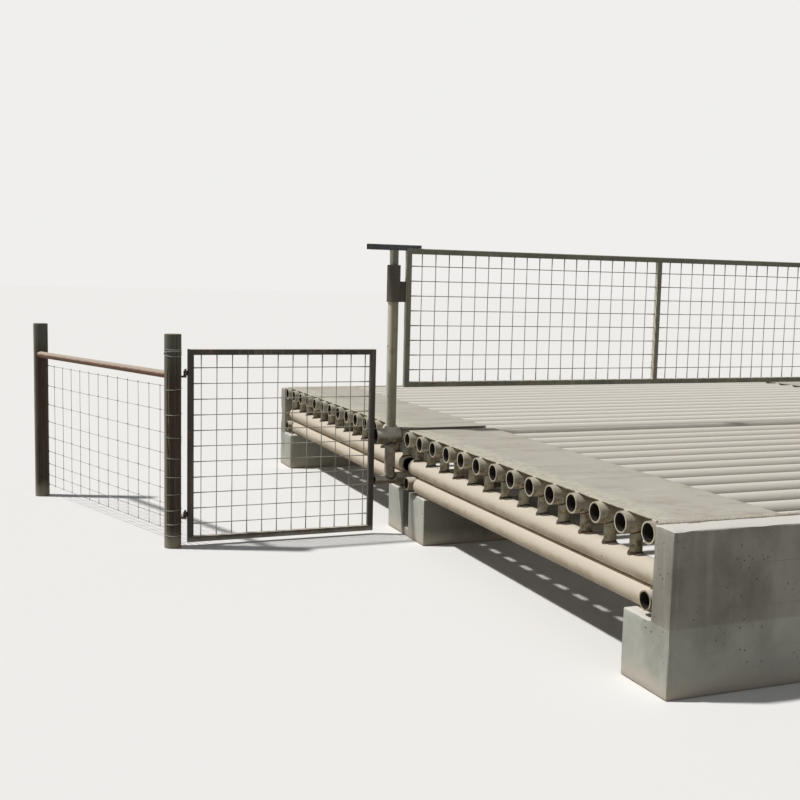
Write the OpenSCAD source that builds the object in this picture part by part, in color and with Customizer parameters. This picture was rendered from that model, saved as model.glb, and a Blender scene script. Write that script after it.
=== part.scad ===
// Pipe cattle grid with its swing gate, side gate and one fence bay.
// Millimetres. +Z is up, X runs along the deck pipes, Y is the way of travel.
// The origin is on the ground at the middle of the grid.

/* [Deck] */

// Length of the deck pipes, the width of the roadway
deck_w = 6200; // [3600:10:7300]
// Deck pipes in each of the two units
pipe_count = 14; // [6:1:18]
// Spacing of the deck pipes, centre to centre
pipe_pitch = 215.9; // [170:0.1:260]
// Outside diameter of a deck pipe
pipe_d = 101.6; // [76:0.1:127]
// Wall of a deck pipe
pipe_wall = 8.4; // [4:0.1:12]
// Width of the tread plate along each edge of the deck
plate_w = 640; // [200:10:900]
// Distance from the pipe ends to the tread plate
plate_inset = 30; // [30:5:200]
// Thickness of the tread plates
plate_t = 6; // [4:0.5:12]

/* [Stringers] */

// Outside diameter of the stringer pipes
stringer_d = 114.3; // [88:0.1:140]
// Wall of the stringer pipes
stringer_wall = 8.6; // [4:0.1:12]
// Distance from the pipe ends to the outer stringers
stringer_inset = 90; // [80:1:200]
// Height of the legs between stringer and deck pipe
leg_h = 90; // [40:1:140]
// Outside diameter of those legs
leg_d = 60.3; // [33:0.1:70]
// Wall of the legs
leg_wall = 5.5; // [3:0.1:8]
// Outside diameter of the cross pipes that tie the stringers
cross_d = 88.9; // [60:0.1:100]
// Wall of the cross pipes
cross_wall = 7.6; // [4:0.1:12]

/* [Footings] */

// Height of the footings under the steelwork
footing_h = 313; // [150:1:500]
// Length of the ledge that carries the stringers at each end
ledge_len = 210; // [150:5:400]
// Thickness of the end walls
wall_t = 140; // [100:5:250]
// How far the end walls and their ledges run past the pipe ends
wall_out = 10; // [0:1:60]
// Gap between an end wall and the nearest pipe
wall_gap = 8; // [2:1:30]
// Length of each of the two middle seats, along the road
seat_len = 280; // [200:5:400]
// Gap between the two middle seats
seat_gap = 100; // [40:5:160]
// How far the middle seats stop short of the pipe ends
seat_inset = 40; // [0:5:45]
// Thickness of the pad that joins the middle seats
pad_t = 60; // [40:5:140]

/* [Gate posts] */

// Outside diameter of the gate posts
post_d = 73; // [60:0.1:100]
// Wall of the gate posts
post_wall = 5.2; // [3:0.1:8]
// Distance of the post axes outside the pipe ends
post_out = 40; // [20:1:100]
// How far the brackets reach past the pipe ends to carry a post
bracket_len = 150; // [100:5:250]
// How far the upper bracket is slipped over its deck pipe
bracket_lap = 25; // [10:1:29]
// Outside diameter of the upper bracket
bracket_d = 114.3; // [106:0.1:125]
// Outside diameter of the lower bracket, a pipe laid in the cross pipe's bore
low_bracket_d = 60.3; // [48:0.1:72]
// How far the lower bracket reaches into its cross pipe
low_bracket_lap = 110; // [40:5:300]

/* [Swing gate] */

// Square tube of the gate frames
tube = 38.1; // [25:0.1:60]
// Wall of the gate tubes
tube_wall = 3; // [2:0.1:5]
// Outer corner radius of the gate tubes
tube_r = 6; // [3:0.5:10]
// Wire spacing of the gate mesh
mesh_cell = 101.6; // [70:0.1:160]
// Thickness of the mesh wires
wire_d = 5.7; // [3:0.1:8]
// Rows of mesh in the swing gate
gate_rows = 9; // [6:1:11]
// Bays of the swing gate
gate_bays = 3; // [2:1:4]
// Height of the gate's lower rail above the deck
gate_lift = 305; // [150:5:400]
// Distance from the post axis to the hinge stile
hinge_arm = 107; // [80:1:160]
// Free space between the closed gate and the latch post
latch_gap = 26; // [10:1:60]
// Outside diameter of the tube that turns inside the post
pivot_d = 60.3; // [48:0.1:70]
// Outside diameter of the collar around the post
collar_d = 92; // [80:0.1:110]
// Height of the collar
collar_h = 250; // [120:5:400]
// Height of the lug that ties the collar to the stile
lug_h = 140; // [60:5:220]
// Thickness of that lug
lug_t = 12; // [6:1:20]
// Length of the bar across the top of the pivot
head_len = 385; // [250:5:600]
// How far the middle of that bar stands above the middle of the top rail
head_rise = 21.5; // [10:0.5:38]
// From the top of the gate posts up to the underside of that bar
head_gap = 100; // [5:1:150]

/* [Side gate] */

// Rows of mesh in the side gate
side_rows = 12; // [8:1:14]
// Width of the side gate, from stile to stile
side_w = 1240; // [800:5:1500]
// Width of the first mesh cell beside the hinge stile
side_first = 69; // [40:1:101]
// Height of the side gate's lower rail above the ground
side_lift = 46; // [30:1:200]
// Free space between the closed side gate and the post brackets
side_gap = 11; // [6:1:60]
// Diameter of the hinge pins
pin_d = 14; // [10:0.5:22]
// Distance from the middle of the pins to the wooden post
pin_out = 26; // [26:1:60]
// Height of the hinge pins above each rail's middle
pin_rise = 150; // [80:5:300]
// Length of each hinge pin above its shank
pin_h = 42; // [36:1:80]
// Height of the eyes that drop over the pins
eye_h = 30; // [20:1:34]
// Thickness of the eyes round their pins
eye_t = 5; // [4:0.5:8]
// Depth of the hook shanks in the wooden post
shank_deep = 80; // [40:1:90]

/* [Fence] */

// Diameter of the wooden posts
wood_d = 108; // [80:1:150]
// Height of the post that carries the side gate
hinge_post_h = 1380; // [1300:5:1700]
// Height of the post at the far end of the bay
brace_post_h = 1360; // [1200:5:1700]
// Length of the fence bay, post to post
bay_len = 2065; // [1200:5:3000]
// Turn of the fence from straight along the road
fence_turn = 19.8; // [0:0.1:60]
// Outside diameter of the brace pipe
brace_d = 48.3; // [33:0.1:76]
// Wall of the brace pipe
brace_wall = 3.7; // [2:0.1:6]
// Height of the brace pipe above the ground
brace_z = 1120; // [700:5:1150]
// How far the brace pipe lies outside the middle of the posts
brace_out = 20; // [0:1:24]
// Depth of its socket in the far post
brace_deep = 40; // [20:1:60]
// Gap between the lowest wires of the net
net_gap = 76; // [60:1:100]
// How much each gap of the net grows
net_step = 12; // [8:1:16]
// Horizontal wires of the net
net_wires = 9; // [6:1:10]
// Height of the lowest wire above the ground
net_low = 85; // [40:5:150]
// Spacing of the net's upright wires
stay_pitch = 152.4; // [100:0.1:200]
// Thickness of the net's wires
net_wire = 4; // [2:0.1:6]

/* [Hidden] */

$fn = 48;
// Lines of stringers under the deck, one node of legs for each
line_count = 5;
// Clearance between pieces that bear on each other
seat = 0.3;
// Running clearance of a pin or a collar
play = 0.8;
// How far a cutting shape runs past what it cuts
cut = 2;
// Space between an eye and the stile that it is welded to
eye_gap = 1;

// Heights, from the ground up
lower_z = footing_h + seat + stringer_d / 2;
upper_z = lower_z + stringer_d + seat;
pipe_z = upper_z + stringer_d / 2 + leg_h + pipe_d / 2;
deck_z = pipe_z + pipe_d / 2;
plate_z = deck_z + seat;
wall_top = deck_z;
cross_z = upper_z - stringer_d / 2 - seat - cross_d / 2;

// Places along the road
row_end = (pipe_count - 0.5) * pipe_pitch;
first_y = pipe_pitch / 2;
wall_y = row_end + pipe_d / 2 + wall_gap;
unit_len = row_end - first_y;
upper_len = unit_len + pipe_d;
lower_len = unit_len - cross_d - 2 * seat;
unit_mid = (row_end + first_y) / 2;

// Places across the road
edge = deck_w / 2;
line_x = edge - stringer_inset;
line_step = 2 * line_x / (line_count - 1);
post_x = edge + post_out;
post_y = first_y;
cross_bore = cross_d - 2 * cross_wall;
low_bracket_z = cross_z - cross_bore / 2 + low_bracket_d / 2 + seat;

// Swing gate
stile_x = -post_x + hinge_arm;
latch_x = post_x - post_d / 2 - latch_gap - tube / 2;
gate_span = latch_x - stile_x;
gate_bay = gate_span / gate_bays;
gate_pitch = gate_bay / round(gate_bay / mesh_cell);
gate_low = deck_z + gate_lift;
gate_high = gate_low + gate_rows * mesh_cell;
head_z = gate_high + head_rise;
post_top = head_z - tube / 2 - head_gap;
pivot_deep = (post_top - deck_z) * 0.75;

// Side gate, in line with the gate posts, and fence
side_y = post_y;
side_latch_x = -edge - bracket_len - side_gap - tube / 2;
side_hinge_x = side_latch_x - side_w;
eye_d = pin_d + 2 * play + 2 * eye_t;
pin_x = side_hinge_x - tube / 2 - eye_d / 2 - eye_gap;
wood_x = pin_x - pin_out - wood_d / 2;
side_h = side_rows * mesh_cell;
side_low = side_lift;
side_high = side_low + side_h;
far_x = wood_x - bay_len * sin(fence_turn);
far_y = side_y + bay_len * cos(fence_turn);

steel = [0.80, 0.75, 0.68];
dark_steel = [0.33, 0.31, 0.27];
concrete = [0.66, 0.66, 0.62];
timber = [0.28, 0.24, 0.18];
galvanised = [0.55, 0.56, 0.54];

// Shapes used by several pieces

// A pipe along X, centred on the origin
module pipe_x(len, d, wall) {
    rotate([0, 90, 0])
        difference() {
            cylinder(h = len, d = d, center = true);
            cylinder(h = len + cut, d = d - 2 * wall, center = true);
        }
}

// A pipe along Y, centred on the origin
module pipe_y(len, d, wall) {
    rotate([90, 0, 0])
        difference() {
            cylinder(h = len, d = d, center = true);
            cylinder(h = len + cut, d = d - 2 * wall, center = true);
        }
}

// A short upright of pipe between two pipes, its ends cut to fit round them
module saddled_leg(d, wall, low_z, low_d, low_turn, high_z, high_d) {
    difference() {
        translate([0, 0, low_z])
            sleeve(high_z - low_z, d, d - 2 * wall);
        translate([0, 0, low_z])
            rotate([90, 0, low_turn])
                cylinder(h = 3 * d, d = low_d + 2 * seat, center = true);
        translate([0, 0, high_z])
            rotate([0, 90, 0])
                cylinder(h = 3 * d, d = high_d + 2 * seat, center = true);
    }
}

// A square with round corners
module rounded_square(size, r) {
    union() {
        square([size, size - 2 * r], center = true);
        square([size - 2 * r, size], center = true);
        for (x = [-1, 1])
            for (y = [-1, 1])
                translate([x * (size / 2 - r), y * (size / 2 - r)])
                    circle(r = r);
    }
}

// The section of the gate tubes, with its bore
module tube_section() {
    difference() {
        rounded_square(tube, tube_r);
        rounded_square(tube - 2 * tube_wall, max(tube_r - tube_wall, 0.5));
    }
}

// A gate tube along X with both ends cut at 45 degrees, its outer side down
module mitred_tube(len) {
    long = len + tube;
    half = long / 2;
    intersection() {
        rotate([90, 0, 90])
            linear_extrude(long, center = true)
                tube_section();
        rotate([90, 0, 0])
            linear_extrude(tube + cut, center = true)
                polygon([
                    [-half, -tube / 2], [half, -tube / 2],
                    [half - tube, tube / 2], [tube - half, tube / 2]
                ]);
    }
}

// A welded mesh, from the middle of one tube to the middle of the next
module mesh_panel(width, height, first, pitch, rows, wire) {
    in = tube / 2 + seat;
    translate([0, wire / 2, 0])
        rotate([90, 0, 0])
            linear_extrude(wire)
                union() {
                    for (x = [first : pitch : width - in - wire])
                        translate([x - wire / 2, in])
                            square([wire, height - 2 * in]);
                    for (j = [1 : rows - 1])
                        translate([in, j * height / rows - wire / 2])
                            square([width - 2 * in, wire]);
                }
}

// One sleeve with a true bore, upright
module sleeve(h, outer, inner) {
    difference() {
        cylinder(h = h, d = outer);
        translate([0, 0, -cut])
            cylinder(h = h + 2 * cut, d = inner);
    }
}

// Footings

module abutment(side) {
    ledge = wall_y - ledge_len;
    color(concrete)
        rotate([90, 0, 90])
            translate([0, 0, -edge - wall_out])
                linear_extrude(deck_w + 2 * wall_out)
                    polygon([
                        [side * ledge, 0], [side * (wall_y + wall_t), 0],
                        [side * (wall_y + wall_t), wall_top], [side * wall_y, wall_top],
                        [side * wall_y, footing_h], [side * ledge, footing_h]
                    ]);
}

module near_abutment() {
    abutment(-1);
}

module far_abutment() {
    abutment(1);
}

module middle_footing() {
    out = seat_gap / 2 + seat_len;
    color(concrete)
        rotate([90, 0, 90])
            translate([0, 0, seat_inset - edge])
                linear_extrude(deck_w - 2 * seat_inset)
                    polygon([
                        [-out, 0], [out, 0], [out, footing_h],
                        [seat_gap / 2, footing_h], [seat_gap / 2, pad_t],
                        [-seat_gap / 2, pad_t], [-seat_gap / 2, footing_h],
                        [-out, footing_h]
                    ]);
}

// Stringers

module stringer_row(side, z, len) {
    for (i = [0 : line_count - 1])
        translate([-line_x + i * line_step, side * unit_mid, z])
            pipe_y(len, stringer_d, stringer_wall);
}

module near_lower_stringers() {
    color(steel)
        stringer_row(-1, lower_z, lower_len);
}

module far_lower_stringers() {
    color(steel)
        stringer_row(1, lower_z, lower_len);
}

module near_upper_stringers() {
    color(steel)
        stringer_row(-1, upper_z, upper_len);
}

module far_upper_stringers() {
    color(steel)
        stringer_row(1, upper_z, upper_len);
}

module near_cross_pipes() {
    color(steel)
        for (y = [-first_y, -row_end])
            translate([0, y, cross_z])
                pipe_x(deck_w, cross_d, cross_wall);
}

module far_cross_pipes() {
    color(steel)
        for (y = [first_y, row_end])
            translate([0, y, cross_z])
                pipe_x(deck_w, cross_d, cross_wall);
}

// Legs on one line of stringers, under every deck pipe of both units
module leg_line(line) {
    color(steel)
        for (side = [-1, 1])
            for (k = [0 : pipe_count - 1])
                translate([-line_x + line * line_step, side * (first_y + k * pipe_pitch), 0])
                    saddled_leg(leg_d, leg_wall, upper_z, stringer_d, 0, pipe_z, pipe_d);
}

module legs_left_edge() {
    leg_line(0);
}

module legs_left_inner() {
    leg_line(1);
}

module legs_centre() {
    leg_line(2);
}

module legs_right_inner() {
    leg_line(3);
}

module legs_right_edge() {
    leg_line(4);
}

// Deck

module near_deck_pipes() {
    color(steel)
        for (k = [0 : pipe_count - 1])
            translate([0, -first_y - k * pipe_pitch, pipe_z])
                pipe_x(deck_w, pipe_d, pipe_wall);
}

module far_deck_pipes() {
    color(steel)
        for (k = [0 : pipe_count - 1])
            translate([0, first_y + k * pipe_pitch, pipe_z])
                pipe_x(deck_w, pipe_d, pipe_wall);
}

module tread_plates(side) {
    color(steel)
        for (hand = [-1, 1])
            translate([
                hand * (edge - plate_inset - plate_w / 2) - plate_w / 2,
                side * unit_mid - upper_len / 2,
                plate_z
            ])
                cube([plate_w, upper_len, plate_t]);
}

module near_tread_plates() {
    tread_plates(-1);
}

module far_tread_plates() {
    tread_plates(1);
}

// Gate posts

// A post of pipe, its foot cut to stand on the upper bracket
module post_on_bracket(hand) {
    color(galvanised)
        translate([hand * post_x, post_y, 0])
            difference() {
                translate([0, 0, pipe_z])
                    sleeve(post_top - pipe_z, post_d, post_d - 2 * post_wall);
                translate([0, 0, pipe_z])
                    rotate([0, 90, 0])
                        cylinder(h = 3 * post_d, d = bracket_d + 2 * seat, center = true);
            }
}

// The upper bracket slips over a deck pipe, the lower one into a cross pipe
module post_brackets(hand) {
    upper_wall = (bracket_d - pipe_d) / 2 - seat;
    upper_len = bracket_lap + bracket_len;
    low_len = low_bracket_lap + bracket_len;
    color(steel) {
        translate([hand * (edge - bracket_lap + upper_len / 2), post_y, pipe_z])
            pipe_x(upper_len, bracket_d, upper_wall);
        translate([hand * (edge - low_bracket_lap + low_len / 2), post_y, low_bracket_z])
            pipe_x(low_len, low_bracket_d, post_wall);
    }
}

module strut_under_post(hand) {
    color(steel)
        translate([hand * post_x, post_y, 0])
            saddled_leg(post_d, post_wall, low_bracket_z, low_bracket_d, 90, pipe_z, bracket_d);
}

module gate_post() {
    post_on_bracket(-1);
}

module gate_post_brackets() {
    post_brackets(-1);
}

module gate_post_strut() {
    strut_under_post(-1);
}

module latch_post() {
    post_on_bracket(1);
}

module latch_post_brackets() {
    post_brackets(1);
}

module latch_post_strut() {
    strut_under_post(1);
}

// Swing gate

module pivot_tube() {
    color(galvanised)
        translate([-post_x, post_y, post_top - pivot_deep])
            sleeve(head_gap + pivot_deep, pivot_d, pivot_d - 2 * post_wall);
}

// The bar is welded on the pivot and notched over the corner of the gate
module head_bar() {
    color(galvanised)
        difference() {
            translate([-post_x - head_len / 2, post_y, head_z])
                rotate([90, 0, 90])
                    linear_extrude(head_len)
                        tube_section();
            translate([stile_x - tube / 2 - seat, post_y - tube, gate_high - tube])
                cube([head_len, 2 * tube, 1.5 * tube + seat]);
        }
}

module hinge_collar() {
    reach = hinge_arm - tube / 2;
    bore = post_d + 2 * play;
    color(dark_steel)
        translate([-post_x, post_y, post_top - collar_h])
            difference() {
                union() {
                    cylinder(h = collar_h, d = collar_d);
                    translate([0, -lug_t / 2, 0])
                        cube([reach, lug_t, lug_h]);
                }
                translate([0, 0, -cut])
                    cylinder(h = collar_h + 2 * cut, d = bore);
            }
}

module gate_bottom_rail() {
    color(galvanised)
        translate([(stile_x + latch_x) / 2, post_y, gate_low])
            mitred_tube(gate_span);
}

module gate_top_rail() {
    color(galvanised)
        translate([(stile_x + latch_x) / 2, post_y, gate_high])
            rotate([180, 0, 0])
                mitred_tube(gate_span);
}

module gate_hinge_stile() {
    color(galvanised)
        translate([stile_x, post_y, (gate_low + gate_high) / 2])
            rotate([0, 90, 0])
                mitred_tube(gate_high - gate_low);
}

module gate_latch_stile() {
    color(galvanised)
        translate([latch_x, post_y, (gate_low + gate_high) / 2])
            rotate([0, -90, 0])
                mitred_tube(gate_high - gate_low);
}

module gate_uprights() {
    color(galvanised)
        for (i = [1 : gate_bays - 1])
            translate([stile_x + i * gate_bay, post_y, gate_low + tube / 2])
                linear_extrude(gate_high - gate_low - tube)
                    tube_section();
}

module gate_mesh(bay) {
    color(galvanised)
        translate([stile_x + bay * gate_bay, post_y, gate_low])
            mesh_panel(gate_bay, gate_high - gate_low, gate_pitch, gate_pitch, gate_rows, wire_d);
}

module gate_mesh_1() {
    gate_mesh(0);
}

module gate_mesh_2() {
    gate_mesh(1);
}

module gate_mesh_3() {
    gate_mesh(2);
}

// Side gate

module side_gate_bottom_rail() {
    color(dark_steel)
        translate([(side_hinge_x + side_latch_x) / 2, side_y, side_low])
            mitred_tube(side_w);
}

module side_gate_top_rail() {
    color(dark_steel)
        translate([(side_hinge_x + side_latch_x) / 2, side_y, side_high])
            rotate([180, 0, 0])
                mitred_tube(side_w);
}

module side_gate_hinge_stile() {
    color(dark_steel)
        translate([side_hinge_x, side_y, (side_low + side_high) / 2])
            rotate([0, 90, 0])
                mitred_tube(side_h);
}

module side_gate_latch_stile() {
    color(dark_steel)
        translate([side_latch_x, side_y, (side_low + side_high) / 2])
            rotate([0, -90, 0])
                mitred_tube(side_h);
}

module side_gate_mesh() {
    color(dark_steel)
        translate([side_hinge_x, side_y, side_low])
            mesh_panel(side_w, side_h, side_first, mesh_cell, side_rows, wire_d);
}

// Eyes on the stile that drop over the hinge pins
module side_gate_eyes() {
    strap = side_hinge_x - tube / 2 - pin_x;
    color(dark_steel)
        for (z = [side_low + pin_rise, side_high - pin_rise])
            translate([pin_x, side_y, z])
                difference() {
                    union() {
                        cylinder(h = eye_h, d = eye_d);
                        translate([0, -eye_t / 2, 0])
                            cube([strap, eye_t, eye_h]);
                    }
                    translate([0, 0, -cut])
                        cylinder(h = eye_h + 2 * cut, d = pin_d + 2 * play);
                }
}

// Hooks that screw into the wooden post, each with an upright pin
module hinge_hooks() {
    shank = pin_out + shank_deep;
    color(dark_steel)
        for (z = [side_low + pin_rise, side_high - pin_rise])
            translate([pin_x, side_y, z])
                union() {
                    translate([0, 0, -pin_d - seat])
                        cylinder(h = pin_d + pin_h, d = pin_d);
                    translate([-shank, 0, -pin_d / 2 - seat])
                        rotate([0, 90, 0])
                            cylinder(h = shank, d = pin_d);
                }
}

// Fence

module wooden_post(height) {
    color(timber)
        cylinder(h = height, d = wood_d);
}

// The post that carries the side gate, bored for the two hooks
module hinge_post() {
    color(timber)
        translate([wood_x, side_y, 0])
            difference() {
                wooden_post(hinge_post_h);
                for (z = [side_low + pin_rise, side_high - pin_rise])
                    translate([wood_d / 2 - shank_deep - seat, 0, z - pin_d / 2 - seat])
                        rotate([0, 90, 0])
                            cylinder(h = shank_deep + cut, d = pin_d + 2 * seat);
            }
}

// The far post, with a socket for the end of the brace pipe
module brace_post() {
    translate([far_x, far_y, 0])
        rotate([0, 0, fence_turn])
            difference() {
                wooden_post(brace_post_h);
                translate([-brace_out, brace_deep + seat - wood_d / 2, brace_z])
                    rotate([90, 0, 0])
                        cylinder(h = wood_d, d = brace_d + 2 * seat);
            }
}

// The pipe is cut to butt on the hinge post and sits in the far post's socket
module brace_pipe() {
    len = bay_len - wood_d / 2 + brace_deep;
    color(steel)
        translate([wood_x, side_y, brace_z])
            rotate([0, 0, fence_turn])
                difference() {
                    translate([-brace_out, len / 2, 0])
                        pipe_y(len, brace_d, brace_wall);
                    cylinder(h = 2 * brace_d, d = wood_d + 2 * seat, center = true);
                }
}

// A graded net: the gaps widen from the ground up
function net_z(i) = i == 0 ? net_low : net_z(i - 1) + net_gap + (i - 1) * net_step;

// The net lies on the posts' far side, its wires tied round the hinge post
module fence_net() {
    top = net_z(net_wires - 1);
    len = bay_len + wood_d / 2;
    stays = floor(bay_len / stay_pitch);
    first = (bay_len - (stays - 1) * stay_pitch) / 2;
    inner = wood_d / 2 + seat;
    color(galvanised)
        translate([wood_x, side_y, 0])
            rotate([0, 0, fence_turn])
                union() {
                    translate([inner, 0, 0])
                        rotate([90, 0, 90])
                            linear_extrude(net_wire)
                                union() {
                                    for (i = [0 : net_wires - 1])
                                        translate([0, net_z(i) - net_wire / 2])
                                            square([len, net_wire]);
                                    for (k = [0 : stays - 1])
                                        translate([first + k * stay_pitch - net_wire / 2, net_low])
                                            square([net_wire, top - net_low]);
                                }
                    for (i = [0 : net_wires - 1])
                        translate([0, 0, net_z(i) - net_wire / 2])
                            sleeve(net_wire, 2 * (inner + net_wire), 2 * inner);
                }
}

near_abutment();
far_abutment();
middle_footing();
near_lower_stringers();
far_lower_stringers();
near_upper_stringers();
far_upper_stringers();
near_cross_pipes();
far_cross_pipes();
legs_left_edge();
legs_left_inner();
legs_centre();
legs_right_inner();
legs_right_edge();
near_deck_pipes();
far_deck_pipes();
near_tread_plates();
far_tread_plates();
gate_post();
gate_post_brackets();
gate_post_strut();
latch_post();
latch_post_brackets();
latch_post_strut();
pivot_tube();
head_bar();
hinge_collar();
gate_top_rail();
gate_bottom_rail();
gate_hinge_stile();
gate_latch_stile();
gate_uprights();
gate_mesh_1();
gate_mesh_2();
gate_mesh_3();
side_gate_top_rail();
side_gate_bottom_rail();
side_gate_hinge_stile();
side_gate_latch_stile();
side_gate_mesh();
side_gate_eyes();
hinge_hooks();
hinge_post();
brace_post();
brace_pipe();
fence_net();
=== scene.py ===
import random
from math import atan2, cos, hypot, pi, radians, remainder, sin, sqrt, tau
import bmesh
import bpy
from mathutils import Matrix, Vector, noise


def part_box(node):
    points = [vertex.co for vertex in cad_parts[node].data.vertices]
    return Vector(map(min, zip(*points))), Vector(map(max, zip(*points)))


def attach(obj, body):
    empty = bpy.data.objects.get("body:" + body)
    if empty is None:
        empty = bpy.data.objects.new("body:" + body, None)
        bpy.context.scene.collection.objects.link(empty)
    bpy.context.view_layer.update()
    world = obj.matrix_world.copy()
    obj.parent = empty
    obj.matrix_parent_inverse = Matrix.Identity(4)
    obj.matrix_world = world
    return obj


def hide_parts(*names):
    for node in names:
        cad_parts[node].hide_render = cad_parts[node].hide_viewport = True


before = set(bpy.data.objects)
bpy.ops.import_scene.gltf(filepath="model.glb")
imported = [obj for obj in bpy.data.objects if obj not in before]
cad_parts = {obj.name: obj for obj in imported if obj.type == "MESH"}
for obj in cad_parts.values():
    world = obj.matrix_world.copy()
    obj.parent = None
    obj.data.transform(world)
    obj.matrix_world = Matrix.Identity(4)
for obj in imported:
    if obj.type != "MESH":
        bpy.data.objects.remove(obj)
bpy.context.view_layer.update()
random.seed(7)
noise.seed_set(7)

# Sizes that no box in the frame shows, in metres

pipe_count = 14
plate_width = 0.64
wall_gap = 0.008
seat_ease = 0.0003
seat_gap = 0.1
pad_height = 0.06
board_height = 0.19
bracket_lap = 0.025
low_bracket_radius = 0.03015
gate_rows = 9
gate_bays = 3
side_rows = 12
side_first = 0.069
mesh_cell = 0.1016
wire_radius = 0.00285
wire_weld_radius = 0.0044
lug_height = 0.14
lug_thickness = 0.012
net_wire_radius = 0.0018
stay_pitch = 0.1524
net_heights = [0.085]
for gap in range(8):
    net_heights.append(net_heights[-1] + 0.076 + gap * 0.012)

# Sizes and places read from the frame, in metres


def middle(node):
    low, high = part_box(node)
    return (low + high) / 2


def spread(node):
    low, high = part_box(node)
    return high - low


deck_low, deck_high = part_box("near_deck_pipes")
pipe_radius = (deck_high.z - deck_low.z) / 2
pipe_z = (deck_high.z + deck_low.z) / 2
edge = deck_high.x
first_y = pipe_radius - deck_high.y
row_end = -deck_low.y - pipe_radius
pipe_pitch = (row_end - first_y) / (pipe_count - 1)
rows_y = [side * (first_y + k * pipe_pitch) for side in (-1, 1) for k in range(pipe_count)]
wall_y = row_end + pipe_radius + wall_gap

stringer_radius = spread("near_upper_stringers").z / 2
upper_z = middle("near_upper_stringers").z
lower_z = middle("near_lower_stringers").z
line_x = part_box("near_upper_stringers")[1].x - stringer_radius
line_step = line_x / 2
line_places = [-line_x + i * line_step for i in range(5)]
leg_lines = ["legs_left_edge", "legs_left_inner", "legs_centre", "legs_right_inner", "legs_right_edge"]
leg_radius = spread("legs_left_edge").x / 2

cross_radius = spread("near_cross_pipes").z / 2
cross_z = middle("near_cross_pipes").z
post_x = middle("latch_post").x
post_y = middle("gate_post").y
post_radius = spread("gate_post").x / 2
bracket_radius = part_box("gate_post_brackets")[1].z - pipe_z
low_bracket_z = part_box("gate_post_brackets")[0].z + low_bracket_radius

tube = spread("gate_latch_stile").x
stile_x = middle("gate_hinge_stile").x
latch_x = middle("gate_latch_stile").x
gate_low = middle("gate_bottom_rail").z
gate_high = middle("gate_top_rail").z
gate_bay = (latch_x - stile_x) / gate_bays

side_hinge_x = middle("side_gate_hinge_stile").x
side_latch_x = middle("side_gate_latch_stile").x
side_y = middle("side_gate_hinge_stile").y
side_low = middle("side_gate_bottom_rail").z
side_high = middle("side_gate_top_rail").z

near_post = middle("hinge_post")
far_post = middle("brace_post")
wood_radius = spread("hinge_post").x / 2
near_axis = Vector((near_post.x, near_post.y, 0))
along_fence = Vector((far_post.x, far_post.y, 0)) - near_axis
bay_len = along_fence.length
along_fence.normalize()
beside_fence = Vector((along_fence.y, -along_fence.x, 0))


def put_in_scene(name, data):
    thing = bpy.data.objects.new(name, data)
    bpy.context.collection.objects.link(thing)
    return thing


# Camera, worked out from the photograph's vanishing lines


def photo_camera():
    focal_px = 1068.4
    image_px = 800
    place = (-5.7707, -6.7318, 1.7239)
    yaw = radians(21.52)
    pitch = radians(6.16)
    roll = radians(1.33)
    forward = Vector((sin(yaw) * cos(pitch), cos(yaw) * cos(pitch), -sin(pitch)))
    right = Vector((cos(yaw), -sin(yaw), 0))
    up = right.cross(forward)
    tilted_right = cos(roll) * right + sin(roll) * up
    tilted_up = -sin(roll) * right + cos(roll) * up
    data = bpy.data.cameras.new("camera")
    data.sensor_width = 36
    data.lens = focal_px / image_px * data.sensor_width
    camera = put_in_scene("camera", data)
    axes = Matrix((tilted_right, tilted_up, -forward)).transposed().to_4x4()
    camera.matrix_world = Matrix.Translation(place) @ axes
    bpy.context.scene.camera = camera


photo_camera()
bpy.context.scene.view_settings.view_transform = "Standard"


# Node graphs


def linear(colour):
    """Three numbers as a screen shows them, 0 to 255, made linear; a socket stays as it is."""
    if isinstance(colour, bpy.types.NodeSocket):
        return colour
    shares = [value / 255 for value in colour]
    return (*[s / 12.92 if s <= 0.04045 else ((s + 0.055) / 1.055) ** 2.4 for s in shares], 1)


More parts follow.
